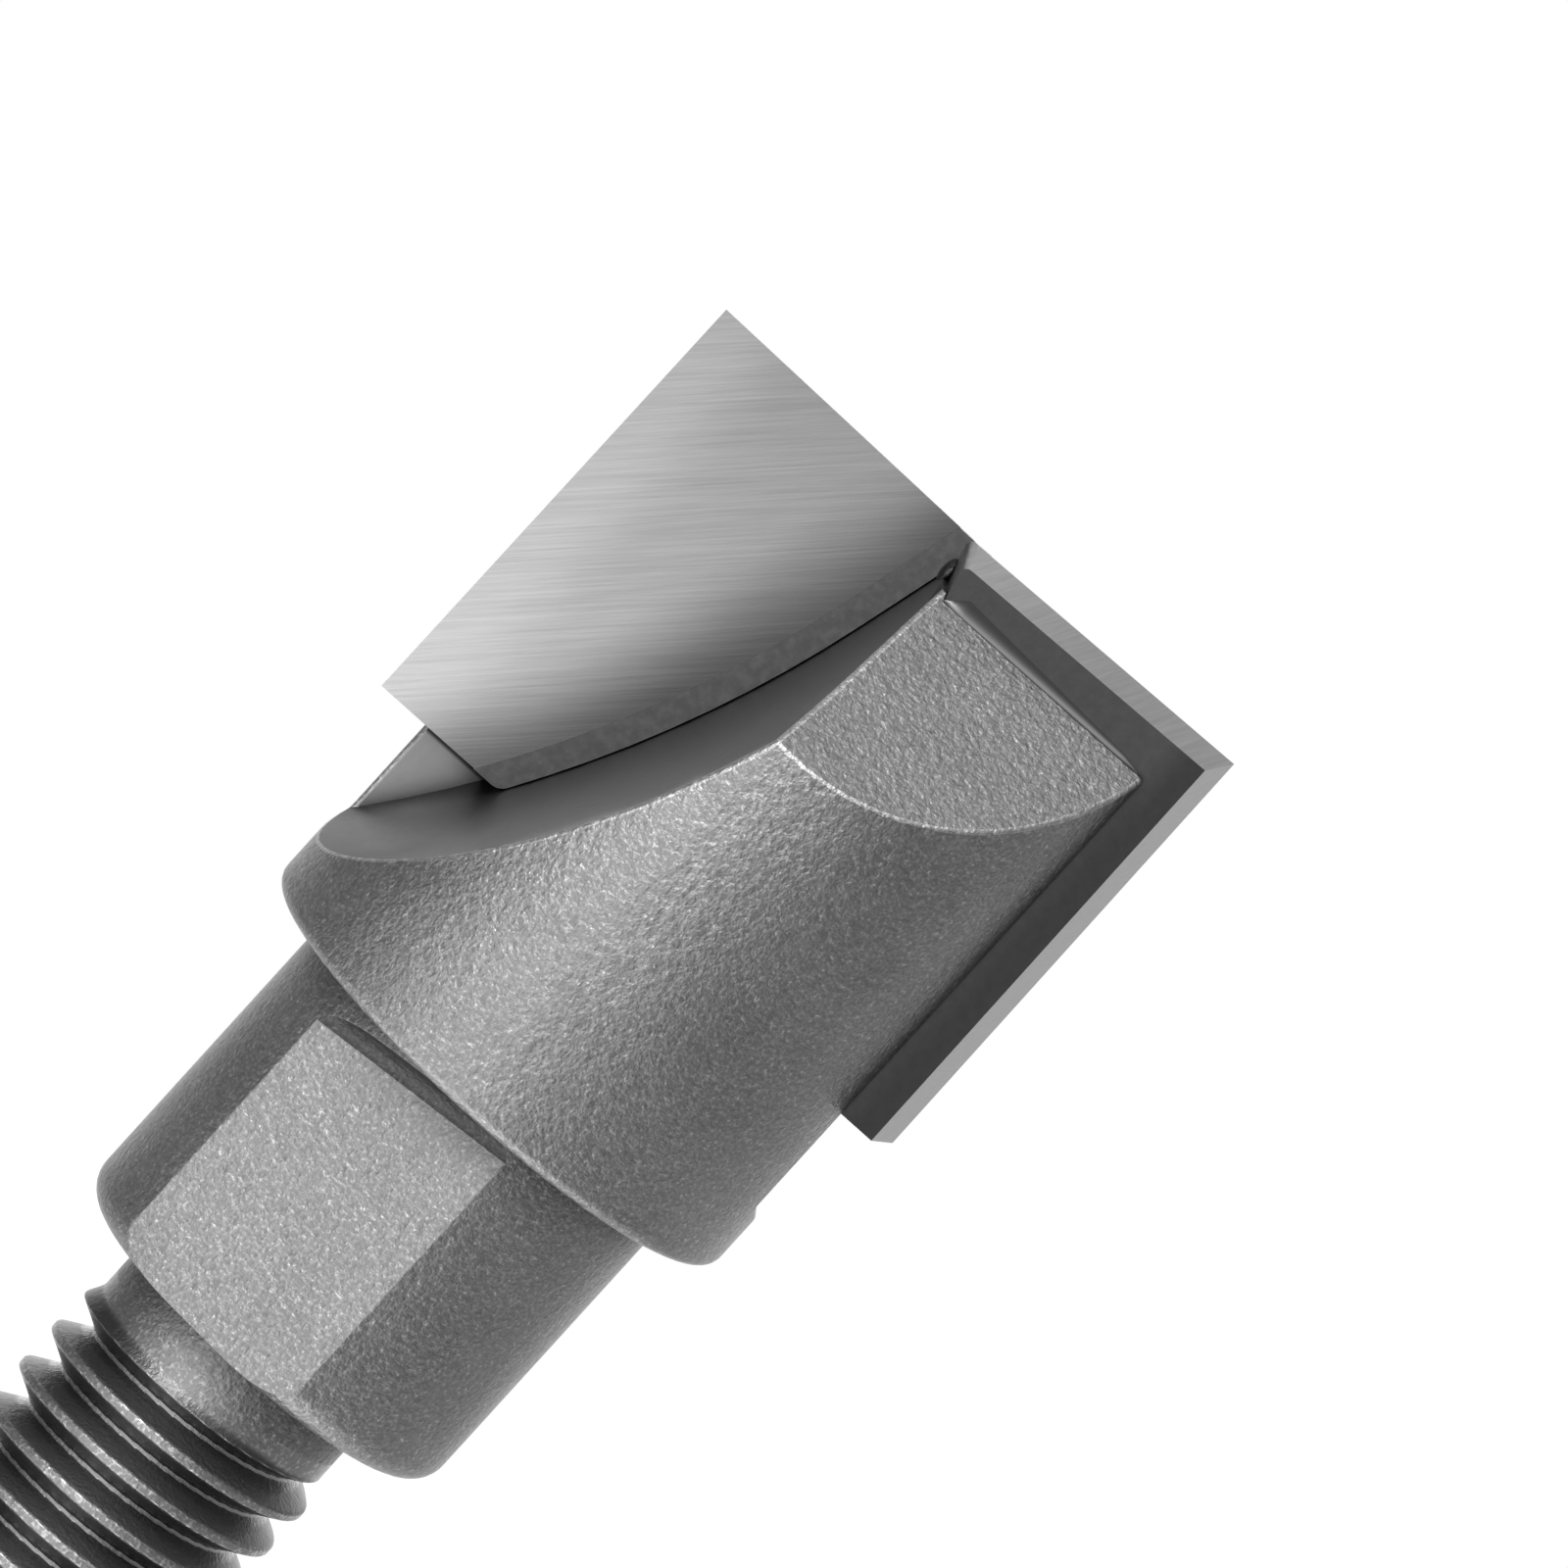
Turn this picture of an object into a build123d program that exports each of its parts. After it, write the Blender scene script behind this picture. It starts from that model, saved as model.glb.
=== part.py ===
from build123d import *
import os
from math import cos, hypot, radians, sin, tan

# Surfacing router bit: a threaded, two-winged cutter head that screws onto an arbor.
# The bit stands on its stud: the turning axis is Z, Z = 0 is the stud's end and the
# cutting end is up. X points across the two cutting plates. Units are millimetres.

# Head
head_dia = 14.9
head_length = 17.35
rim_radius = 0.4
head_edge_radius = 0.15

# Cutting circle
cutting_dia = 17.5
cutting_height = 13.2
front_overhang = 1.35

# Carbide plates
plate_thickness = 1.9
ground_depth = 0.1
rough_band = 0.75
side_taper_deg = 0.28
dish_deg = 1.2
side_clearance_deg = 17.0
front_clearance_deg = 9.5
plate_corner_radius = 0.45
plate_nose_radius = 0.22
braze_gap = 0.04

# Gullets, each left by a disc cutter with a tapered rim that is fed in at a slope
gullet_radius = 34.3
gullet_feed_deg = 14.5
gullet_turn_x = -0.7
gullet_turn_depth = 2.45
gullet_wall_deg = 4.6
gullet_sweep = radians(80)

# Relief facets behind the plates
facet_deg = 41.0

# Wrench collar
collar_dia = 11.6
collar_length = 9.3
collar_edge_radius = 0.85
across_flats = 9.8
flat_turn_deg = -17.7
flat_end_gap = 0.98
flat_end_tilt_deg = 6.5
flat_root_radius = 0.8

# Threaded stud, M8 x 1.25, modelled at its major diameter
neck_dia = 7.4
neck_length = 1.7
stud_dia = 8.0
stud_length = 10.0
stud_chamfer = 0.75

reach = 3 * head_dia
fit = 0.001

# Heights along the axis, from the stud's end up
collar_end_z = stud_length
neck_end_z = collar_end_z - neck_length
shoulder_z = collar_end_z + collar_length
head_end_z = shoulder_z + head_length
front_z = head_end_z + front_overhang
plate_back_z = front_z - cutting_height
gullet_turn_z = head_end_z - gullet_turn_depth

seat_y = plate_thickness
shoulder_width = (head_dia - collar_dia) / 2
wall_slope = tan(radians(gullet_wall_deg))
feed = radians(gullet_feed_deg)
feed_cos = cos(feed)
feed_sin = sin(feed)

half_turn = (0, 180)
flat_turns = (flat_turn_deg, flat_turn_deg + 180)


def gullet_lines(inset):
    """Draw the outline that the gullet cutter sweeps, moved back from the wall by inset."""
    wall_x = gullet_turn_x - inset * feed_cos
    wall_z = gullet_turn_z + inset * feed_sin
    radius = gullet_radius - inset
    arc_points = [
        (
            wall_x - radius * (feed_cos - cos(feed + turned)),
            wall_z + radius * (feed_sin - sin(feed + turned)),
        )
        for turned in (0, gullet_sweep / 2, gullet_sweep)
    ]
    front = (wall_x + reach * feed_sin, wall_z + reach * feed_cos)
    Line(front, arc_points[0])
    ThreePointArc(*arc_points)
    Polyline(arc_points[2], (arc_points[2][0], front[1]), front)


def on_head_round(edge):
    """True where an edge lies on the turned side of the head, ahead of its rim."""
    points = [edge @ t for t in (0.1, 0.5, 0.9)]
    return all(abs(hypot(p.X, p.Y) - head_dia / 2) < fit and p.Z > shoulder_z + 2 * rim_radius for p in points)


def on_facet(edge):
    """True where an edge lies on one of the two relief facets."""
    slope = tan(radians(facet_deg))
    points = [edge @ t for t in (0.1, 0.5, 0.9)]
    return all(abs(head_end_z - (abs(p.Y) - seat_y) * slope - p.Z) < fit for p in points)


with BuildPart() as cutter_body:
    # Turned blank
    with BuildSketch(Plane.XZ):
        with BuildLine():
            Polyline(
                (0, 0),
                (stud_dia / 2 - stud_chamfer, 0),
                (stud_dia / 2, stud_chamfer),
                (stud_dia / 2, neck_end_z),
                (neck_dia / 2, neck_end_z),
                (neck_dia / 2, collar_end_z),
                (collar_dia / 2, collar_end_z),
                (collar_dia / 2, shoulder_z),
                (head_dia / 2, shoulder_z),
                (head_dia / 2, head_end_z),
                (0, head_end_z),
                close=True,
            )
        make_face()
    revolve(axis=Axis.Z)
    collar_edge = cutter_body.edges().filter_by(GeomType.CIRCLE).sort_by(
        lambda e: abs(e.center().Z - collar_end_z) + abs(e.radius - collar_dia / 2)
    )[0]
    fillet(collar_edge, collar_edge_radius)
    rim_edge = cutter_body.edges().filter_by(GeomType.CIRCLE).sort_by(
        lambda e: abs(e.center().Z - shoulder_z) + abs(e.radius - head_dia / 2)
    )[0]
    fillet(rim_edge, min(rim_radius, shoulder_width - fit))

    # Two gullets with the plate seats as their floors
    for turn in half_turn:
        floor_plane = Plane(
            origin=Vector(0, seat_y, 0).rotate(Axis.Z, turn),
            x_dir=Vector(1, 0, 0).rotate(Axis.Z, turn),
            z_dir=Vector(0, -1, 0).rotate(Axis.Z, turn),
        )
        with BuildSketch(floor_plane):
            with BuildLine():
                gullet_lines(seat_y * wall_slope)
            make_face()
        extrude(amount=reach, taper=-gullet_wall_deg, mode=Mode.SUBTRACT)

    # Relief facets, one behind each plate
    for turn in half_turn:
        facet_plane = Plane(
            origin=(0, 0, 0),
            x_dir=Vector(0, -1, 0).rotate(Axis.Z, turn),
            z_dir=Vector(-1, 0, 0).rotate(Axis.Z, turn),
        )
        drop = (reach - seat_y) * tan(radians(facet_deg))
        with BuildSketch(facet_plane):
            with BuildLine():
                Polyline(
                    (seat_y, head_end_z),
                    (seat_y, head_end_z + reach),
                    (reach, head_end_z + reach),
                    (reach, head_end_z - drop),
                    close=True,
                )
            make_face()
        extrude(amount=reach, both=True, mode=Mode.SUBTRACT)

    # Wrench flats, open at the stud end, with a rounded root at the shoulder end
    for turn in flat_turns:
        flat_plane = Plane(
            origin=Vector(0, -across_flats / 2, 0).rotate(Axis.Z, turn),
            x_dir=Vector(1, 0, 0).rotate(Axis.Z, turn),
            z_dir=Vector(0, -1, 0).rotate(Axis.Z, turn),
        )
        half_width = collar_dia / 2
        flat_end_z = shoulder_z - flat_end_gap
        rise = half_width * tan(radians(flat_end_tilt_deg))
        with BuildSketch(flat_plane):
            with BuildLine():
                Polyline(
                    (-half_width, 0),
                    (half_width, 0),
                    (half_width, flat_end_z + rise),
                    (-half_width, flat_end_z - rise),
                    close=True,
                )
            make_face()
        extrude(amount=half_width, mode=Mode.SUBTRACT)
    root_edges = cutter_body.edges().filter_by(GeomType.LINE).filter_by(
        lambda e: abs(e.center().Z - flat_end_z) < flat_end_gap / 2
    )
    fillet(root_edges, flat_root_radius)

    # Edges that blasting has rounded: round the turned head and round the facets
    worn_edges = cutter_body.edges().filter_by(
        lambda e: e.length > plate_thickness and (on_head_round(e) or on_facet(e))
    )
    fillet(worn_edges, head_edge_radius)

with BuildPart() as carbide_tip_a:
    side_lean = radians(side_taper_deg)
    dish = radians(dish_deg)
    outer_back = (-cutting_dia / 2, plate_back_z)
    outer_front = (-cutting_dia / 2 + cutting_height * tan(side_lean), front_z)
    inner_end = (outer_front[0] + cutting_dia, front_z - cutting_dia * tan(dish))

    # Square slab with its inner edge parallel to the gullet wall
    with BuildSketch(Plane.XZ.offset(-seat_y)):
        with BuildLine():
            Polyline(outer_back, outer_front, inner_end, (inner_end[0], plate_back_z), close=True)
        make_face()
    extrude(amount=seat_y)
    with BuildSketch(Plane.XZ.offset(-seat_y)):
        with BuildLine():
            gullet_lines(seat_y * wall_slope + braze_gap)
        make_face()
    extrude(amount=seat_y, taper=-gullet_wall_deg, mode=Mode.INTERSECT)

    # Clearance ground behind the side edge and behind the front edge
    clearances = (
        (outer_back, (sin(side_lean), 0, cos(side_lean)), side_clearance_deg),
        (outer_front, (cos(dish), 0, -sin(dish)), front_clearance_deg),
    )
    for corner, edge_dir, clearance_deg in clearances:
        flank_plane = Plane(
            origin=(corner[0], ground_depth, corner[1]), x_dir=(0, 1, 0), z_dir=edge_dir
        )
        fall = tan(radians(clearance_deg))
        with BuildSketch(flank_plane):
            with BuildLine():
                Polyline(
                    (-seat_y, seat_y * fall),
                    (2 * seat_y, -2 * seat_y * fall),
                    (2 * seat_y, 2 * seat_y),
                    (-seat_y, 2 * seat_y),
                    close=True,
                )
            make_face()
        extrude(amount=reach, both=True, mode=Mode.SUBTRACT)

    # Corners by the gullet wall
    corner_edges = carbide_tip_a.edges().filter_by(
        lambda e: abs(e.center().Y - seat_y / 2) < seat_y / 4
    )
    nose_edge = corner_edges.sort_by(Axis.X)[-1]
    tail_edge = corner_edges.group_by(Axis.Z)[0].sort_by(Axis.X)[-1]
    fillet(tail_edge, plate_corner_radius)
    fillet(nose_edge, plate_nose_radius)

    # Ground rake face, with the rough band that the wheel leaves along the wall
    with BuildSketch(Plane.XZ.offset(-ground_depth)):
        with BuildLine():
            gullet_lines(rough_band)
        make_face()
    extrude(amount=ground_depth, mode=Mode.SUBTRACT)

with BuildPart() as carbide_tip_b:
    add(carbide_tip_a.part.rotate(Axis.Z, 180))

cutter_body.part.label = "cutter_body"
carbide_tip_a.part.label = "carbide_tip_a"
carbide_tip_b.part.label = "carbide_tip_b"

os.makedirs("parts", exist_ok=True)
export_step(cutter_body.part, "parts/cutter_body.step")
export_step(carbide_tip_a.part, "parts/carbide_tip_a.step")
export_step(carbide_tip_b.part, "parts/carbide_tip_b.step")
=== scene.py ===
"""Surfacing router bit: a threaded body of blasted steel and two ground carbide plates."""

from math import cos, pi, radians, sin, sqrt, tan

import bmesh
import bpy
import numpy as np
from mathutils import Matrix, Vector


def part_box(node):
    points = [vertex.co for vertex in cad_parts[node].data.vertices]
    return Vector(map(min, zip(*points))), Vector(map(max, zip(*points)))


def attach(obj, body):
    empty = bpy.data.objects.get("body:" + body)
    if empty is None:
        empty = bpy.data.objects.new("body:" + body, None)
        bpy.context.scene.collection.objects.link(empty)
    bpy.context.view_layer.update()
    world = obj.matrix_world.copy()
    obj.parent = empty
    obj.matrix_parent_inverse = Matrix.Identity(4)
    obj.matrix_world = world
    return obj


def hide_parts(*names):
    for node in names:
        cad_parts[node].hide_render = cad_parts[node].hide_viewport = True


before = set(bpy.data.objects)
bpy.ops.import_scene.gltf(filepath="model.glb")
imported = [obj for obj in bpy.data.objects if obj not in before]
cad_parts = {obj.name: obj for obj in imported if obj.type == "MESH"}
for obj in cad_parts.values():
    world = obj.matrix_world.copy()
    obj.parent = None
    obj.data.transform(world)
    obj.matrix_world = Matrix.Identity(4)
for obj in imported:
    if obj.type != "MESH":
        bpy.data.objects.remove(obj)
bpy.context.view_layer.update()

MM = 0.001

# The body, in metres: Z is the turning axis, and each plate's seat lies SEAT_Y to one side of it
SHOULDER_Z = 19.3 * MM
RIM_HEIGHT = 0.45 * MM
RELIEF_LOW_Z = 35.5 * MM
RELIEF_NORMAL = (sin(radians(41)), cos(radians(41)))
SEAT_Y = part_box("carbide_tip_a")[1].y
TAIL_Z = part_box("carbide_tip_a")[0].z
GROUND_DEPTH = 0.1 * MM

# Outline of a gullet's wall, an arc that runs into a straight line, and how far the wall leans
WALL_RADIUS = 34.3 * MM
WALL_CENTRE_X = -33.91 * MM
WALL_CENTRE_Z = 42.79 * MM
WALL_TURN_X = -0.7 * MM
WALL_TURN_Z = 34.2 * MM
WALL_FEED = radians(14.5)
WALL_LEAN = tan(radians(4.6))

# Wrench flats as they are in the source, and the line that their rounded ends are moved to
FLAT_TURN = radians(-17.7)
FLAT_DEPTH = 4.9 * MM
FLAT_END_GAP = 0.98 * MM
FLAT_END_TILT = radians(6.5)
FLAT_ROOT_RADIUS = 0.8 * MM
FLAT_END_DROP = 0.793 * MM
FLAT_END_SLOPE = 0.128
FLAT_END_BOW = 18.3
ROOT_HEIGHT = 0.52 * MM

# How the body's faces are told apart: distances from a surface in metres, and cosines between the
# direction that a face looks in and the one that the surface would have there
WELD_DISTANCE = 0.0005 * MM
CUT_DISTANCE = 1e-8
ON_PLANE = 0.01 * MM
ON_ROOT = 0.02 * MM
ON_WALL = 0.03 * MM
NEAR_SEAT = 0.16 * MM
WALL_STEP = 0.01 * MM
FLAT_COSINE = 0.9999
SEAT_COSINE = 0.9995
NEAR_SEAT_COSINE = 0.97
WALL_COSINE = 0.99
ROUND_COSINE = 0.996
TOP_COSINE = 0.99
RELIEF_MARGIN = 0.02
SHARP_ANGLE = radians(24)

# Order of the body's materials
BLASTED, MILLED, THREAD, WORN_HIGHLIT, ROOT = range(5)

# Thread, right-hand, M8 x 1.25
PITCH = 1.25 * MM
CREST_RADIUS = 3.985 * MM
ROOT_RADIUS = 3.22 * MM
ROOT_HALF_WIDTH = 0.02 * MM
FLANK_SLOPE = sqrt(3.0)
CREST_SOFTNESS = 0.06 * MM
ROOT_SOFTNESS = 0.06 * MM
NECK_RADIUS = 3.7 * MM
NECK_START_Z = 7.75 * MM
NECK_BLEND = 0.75 * MM
GROOVE_Z = 7.43 * MM
GROOVE_TURN = pi
RUN_OUT_START = radians(375)
RUN_OUT_LENGTH = radians(95)
CHAMFER = 0.75 * MM
CHAMFER_SOFTNESS = 0.05 * MM
STUD_RADIUS = 4.0 * MM
THREAD_TOP_Z = 9.0 * MM
THREAD_TOP_EASE = 0.3 * MM
THREAD_TOP_GAP = 0.02 * MM
THREAD_ROWS = 300
THREAD_SIDES = 216

# Bead of braze between the noses of the plates
BRAZE_Z = 36.78 * MM
BRAZE_SIZE = (0.2 * MM, 0.5 * MM, 0.42 * MM)
BRAZE_SEGMENTS = (24, 16)

# Fillet of braze between a relief facet and the plate's back: each pair is by the axis and at the rim
FILLET_FOOT_Z = 36.45 * MM
FILLET_REACH = 0.15 * MM
FILLET_RISE = (0.5 * MM, 0.14 * MM)
FILLET_SPREAD = (0.25 * MM, 6.95 * MM)
FILLET_END_RATE = 12.0
FILLET_STEPS = 48
FILLET_TURNS = 8

# The looks of all metals below: a range is where a look starts and where it is complete, a share multiplies
# a colour, a shadow is its reach in metres and its darkest share, and a pair for roughness is its lowest
# value and what a pattern adds
CORNER_RANGE = (0.35, 0.93)
CORNER_SAMPLES = 6

# Blasted steel: each kind's base grey and the grey of its painted glints; the worn kind is wear with a
# painted highlight on edges, the shaded root kind is painted shade
BLASTED_GREYS = {"blasted_steel": (0.325, 0.66), "worn_and_highlit_steel": (0.55, 0.75), "shaded_root_steel": (0.09, 0.15)}
GRAIN_SIZE = 0.055 * MM
LUMP_SIZE = 0.13 * MM
PATCH_SIZE = 1.4 * MM
GRAIN_HEIGHT = 0.5
BLAST_DEPTH = 0.052 * MM
EDGE_SOFTNESS = 0.07 * MM
EDGE_SAMPLES = 4
SPECK_RANGE = (0.40, 0.72)
SPECK_SHARES = (0.91, 1.31)
PAINTED_GLINT_RANGE = (0.64, 0.74)
PIT_RANGE = (0.47, 0.32)
PIT_STRENGTH = 0.25
PIT_SHARE = 0.55
PATCH_RANGE = (0.3, 0.7)
PATCH_SHARE = 0.90
BLAST_SHADOW = (1.8 * MM, 0.22)
BLAST_ROUGH = (0.36, 0.14)

# Thread steel: radii and heights in metres, leans as the Z of the surface's direction
THREAD_GRAIN_SIZE = 0.06 * MM
THREAD_LUMP_SIZE = 0.16 * MM
THREAD_DEPTH = 0.02 * MM
THREAD_SPECK_RANGE = (0.5, 0.7)
CREST_GREYS = (0.31, 0.62)
CREST_REACH_RANGE = (3.87 * MM, 3.94 * MM)
LEVEL_TILT_RANGE = (0.5, 0.12)
LEVEL_REACH = 3.55 * MM
# Painted shade on the flanks, lighter where they face up; a painted highlight along the roots; painted shade
# on the neck's cone and on its up-facing blend
FLANK_SHADE_LEAN_RANGE = (-0.2, 0.2)
FLANK_SHADE_GREYS = (0.13, 0.27)
ROOT_HIGHLIGHT_TILT_RANGE = (0.05, 0.45)
ROOT_HIGHLIGHT_GREY = 0.28
BOTTOM_REACH_RANGE = (3.35 * MM, 3.50 * MM)
CONE_Z_RANGE = (7.8 * MM, 8.0 * MM)
CONE_SHADE_GREY = 0.12
NECK_Z_RANGE = (7.2 * MM, 7.6 * MM)
NECK_GREYS = (0.30, 0.52)
NECK_SHADE_LEAN_RANGE = (0.10, 0.42)
NECK_SHADE_GREY = 0.19
STUD_END_Z_RANGE = (CHAMFER, 0.6 * MM)
THREAD_ROUGH = (0.24, 0.12)

# Milled steel
MILLED_GRAIN_SIZE = 0.12 * MM
MILLED_PATCH_SIZE = 1.2 * MM
MILLED_DEPTH = 0.004 * MM
WALL_GREYS = (0.135, 0.165)
WALL_SHADOW = (2.0 * MM, 0.18)
# Painted shade at the foot of each wall
WALL_FOOT_SHADE_RANGE = (0.05 * MM, 1.7 * MM)
WALL_FOOT_SHADE_SHARE = 0.24
SEAT_GREYS = (0.30, 0.36)
SEAT_EDGE_RANGE = (0.99, 0.85)
SEAT_EDGE_GREY = 0.42
SEAT_SHADOW = (0.9 * MM, 0.15)
SEAT_RANGE = (0.12, 0.25)
# Painted shadow on the seat just below each plate's tail
TAIL_SHADOW_Z_RANGE = (TAIL_Z - 0.48 * MM, TAIL_Z - 0.36 * MM)
TAIL_SHADOW_END_Z = TAIL_Z + 0.1 * MM
TAIL_SHADOW_SHARE = 0.15
MILLED_ROUGH = (0.34, 0.08)

# Carbide: the directions along and across the strokes that the grinding wheel left
STROKE_ALONG = (0.70, 0.0, 0.714)
STROKE_ACROSS = (-0.714, 0.0, 0.70)
STROKE_STRETCH = 0.02
STROKE_DEPTH_STRETCH = 0.2
STROKE_SIZE = 0.035 * MM
WIDE_STROKE_SIZE = 0.25 * MM
MOTTLE_SIZE = 0.16 * MM
FLAT_RANGE = (0.97, 0.99)
RAKE_GREYS = (0.30, 0.60)
WIDE_STROKE_STRENGTH = 0.4
WIDE_STROKE_GREY = 0.39
# Painted shade along the wall
RAKE_SHADE_RANGE = (0.4 * MM, 3.4 * MM)
RAKE_SHADE_SHARE = 0.26
# Painted light and shade: lighter towards the tail and the outer edge, dimmer away from the axis
RAKE_CLIMB_RANGE = (1.0 * MM, 6.0 * MM)
RAKE_CLIMB_Z = 37.5 * MM
RAKE_CLIMB_GAIN = 40.0
RAKE_DIM_RANGE = (1.0 * MM, 3.4 * MM)
RAKE_DIM = 0.25
RAKE_OUTER_RANGE = (6.0 * MM, 8.2 * MM)
RAKE_OUTER_GAIN = 0.18
SIDE_GREYS = (0.22, 0.32)
FRONT_RANGE = (0.3, 0.9)
FRONT_SKEW = (0.97, -0.24, 0.0)
FRONT_DEPTH_STRETCH = 0.03
FRONT_STROKE_SIZE = 0.06 * MM
FRONT_GREYS = (0.46, 0.88)
FRONT_GAIN = 0.94
FRONT_INNER_RANGE = (4.5 * MM, 0.3 * MM)
FRONT_INNER_GAIN = 0.22
BAND_RANGE = (0.35, 0.75)
BAND_GREYS = (0.10, 0.135)
BACK_GREYS = (0.065, 0.095)
BACK_OUTER_RANGE = (6.9 * MM, 7.8 * MM)
BACK_OUTER_SHARE = 0.65
CARBIDE_DEPTH = 0.003 * MM
MOTTLE_HEIGHT = 2.0
CARBIDE_ROUGH = (0.32, 0.12)

# Braze metal: painted light where it faces up and painted shade where it climbs a plate
BRAZE_SHADE_LEAN_RANGE = (0.05, 0.8)
BRAZE_SHADE_GREYS = (0.055, 0.25)
BRAZE_ROUGHNESS = 0.36

# Camera: a long lens, turned so that the bit's axis climbs to the upper right
IMAGE_PIXELS = 1600
FRAME_WIDTH = 40.0 * MM
CAMERA_AZIMUTH_DEG = -3.26
CAMERA_ELEVATION_DEG = 9.96
CAMERA_ROLL = radians(42.28)
CAMERA_DISTANCE = 1.8
CAMERA_CLIP = (0.1, 10.0)
SENSOR_MM = 36.0
SHOULDER_PIXEL = (504.3, 1093.4)

# Studio
FLOOR_RADIUS = 70 * MM
FLOOR_SOLID = 40 * MM
FLOOR_WHITE = 0.9
FLOOR_SEGMENTS = 96
WORLD_ON_FLOOR = 1.05
TENT_RADIUS = 0.3
TENT_CENTRE = (0.0, 0.0, 20 * MM)
TENT_SEGMENTS = (48, 24)
TENT_BASE = 0.07
KEY_AZIMUTH_DEG = -30
KEY_ELEVATION_DEG = 35
KEY_DISTANCE = 0.35
KEY_SIZE = 0.12
KEY_POWER = 0.66
# Each softbox: azimuth and elevation in degrees, how tight it is, and how bright
SOFTBOXES = {
    "left_back": (-150, -8, 8.0, 0.24),
    "left": (-65, -8, 8.0, 0.12),
    "key_left": (-40, -8, 8.0, 0.39),
    "key": (-15, -8, 8.0, 0.79),
    "right": (90, -8, 8.0, 0.26),
    "right_back": (120, -8, 8.0, 0.10),
    "back_right": (150, -8, 8.0, 0.46),
    "backdrop": (180, -8, 8.0, 1.35),
    "top": (0, 85, 4.0, 0.59),
    "low": (0, -80, 4.0, 2.33),
    "front_high": (-20, 40, 6.0, 1.41),
    "front_low": (-20, -50, 6.0, 0.15),
}


def set_input(tree, value, target):
    """Link a socket to an input, or set a constant on it."""
    if isinstance(value, bpy.types.NodeSocket):
        tree.links.new(value, target)
    else:
        target.default_value = value


def add_node(tree, kind, inputs=None, **settings):
    """A new node with its settings and inputs filled in."""
    node = tree.nodes.new(kind)
    for name, value in settings.items():
        setattr(node, name, value)
    for name, value in (inputs or {}).items():
        set_input(tree, value, node.inputs[name])
    return node


def calc(tree, operation, *values):
    """The output of a math node."""
    node = add_node(tree, "ShaderNodeMath", operation=operation)
    for value, target in zip(values, node.inputs):
        set_input(tree, value, target)
    return node.outputs[0]


def vector_calc(tree, operation, *values):
    """The output of a vector math node: a number for a dot product, else a vector."""
    node = add_node(tree, "ShaderNodeVectorMath", operation=operation)
    targets = (node.inputs[0], node.inputs["Scale"]) if operation == "SCALE" else node.inputs
    for value, target in zip(values, targets):
        set_input(tree, value, target)
    return node.outputs["Value" if operation == "DOT_PRODUCT" else "Vector"]


def hypotenuse(tree, first, second):
    """The long side of the right triangle with those two short sides."""
    squares = [calc(tree, "MULTIPLY", side, side) for side in (first, second)]
    return calc(tree, "SQRT", calc(tree, "ADD", *squares))


def smooth_step(tree, value, start, end):
    """0 up to start, 1 from end on, and smooth between them. The start may be the higher one."""
    node = add_node(
        tree, "ShaderNodeMapRange",
        {"Value": value, "From Min": start, "From Max": end}, interpolation_type="SMOOTHSTEP",
    )
    return node.outputs["Result"]


def object_place(tree):
    """The place of the shaded point on the piece, in metres."""
    return add_node(tree, "ShaderNodeTexCoord").outputs["Object"]


def surface_normal(tree):
    """The direction that the surface faces."""
    return add_node(tree, "ShaderNodeNewGeometry").outputs["Normal"]


def axes(tree, vector):
    """The X, Y and Z of a vector."""
    return add_node(tree, "ShaderNodeSeparateXYZ", {"Vector": vector}).outputs


def noise(tree, vector, size, detail=2.0, roughness=0.5):
    """Noise with features of about that size in metres."""
    node = add_node(
        tree, "ShaderNodeTexNoise",
        {"Vector": vector, "Scale": 0.5 / size, "Detail": detail, "Roughness": roughness},
    )
    return node.outputs["Fac"]


def grey(value):
    """A grey as a colour with alpha."""
    return (value, value, value, 1.0)


def mix(tree, factor, first, second, blend="MIX"):
    """The colour between two colours."""
    node = add_node(tree, "ShaderNodeMix", data_type="RGBA", blend_type=blend)
    set_input(tree, factor, node.inputs["Factor"])
    set_input(tree, first, node.inputs["A"])
    set_input(tree, second, node.inputs["B"])
    return node.outputs["Result"]


def mix_greys(tree, factor, greys):
    """The colour between two greys."""
    return mix(tree, factor, grey(greys[0]), grey(greys[1]))


def dimmed(tree, shade, share):
    """A colour times a share."""
    return mix(tree, 1.0, shade, grey(share), "MULTIPLY")


def shadowed(tree, shade, normal, shadow):
    """A colour that darkens in corners and under overhangs."""
    reach, darkest = shadow
    near = add_node(
        tree, "ShaderNodeAmbientOcclusion", {"Distance": reach, "Normal": normal}, samples=CORNER_SAMPLES,
    )
    open_sky = smooth_step(tree, near.outputs["AO"], *CORNER_RANGE)
    return mix(tree, open_sky, dimmed(tree, shade, darkest), shade)


def bumped(tree, height, depth, normal=None):
    """The surface's direction, tilted by a pattern that is that many metres deep."""
    inputs = {"Strength": 1.0, "Distance": depth, "Height": height}
    if normal is not None:
        inputs["Normal"] = normal
    return add_node(tree, "ShaderNodeBump", inputs).outputs["Normal"]


def roughness_by(tree, pattern, rough):
    """A roughness that a pattern raises."""
    return calc(tree, "MULTIPLY_ADD", pattern, rough[1], rough[0])


def new_material(name):
    """A material with an empty node tree, and the tree."""
    material = bpy.data.materials.new(name)
    material.use_nodes = True
    material.node_tree.nodes.clear()
    return material, material.node_tree


def finish_metal(tree, colour, roughness, normal):
    """End a material as metal."""
    metal = add_node(
        tree, "ShaderNodeBsdfPrincipled",
        {"Base Color": colour, "Metallic": 1.0, "Roughness": roughness, "Normal": normal},
    )
    add_node(tree, "ShaderNodeOutputMaterial", {"Surface": metal.outputs["BSDF"]})


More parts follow.
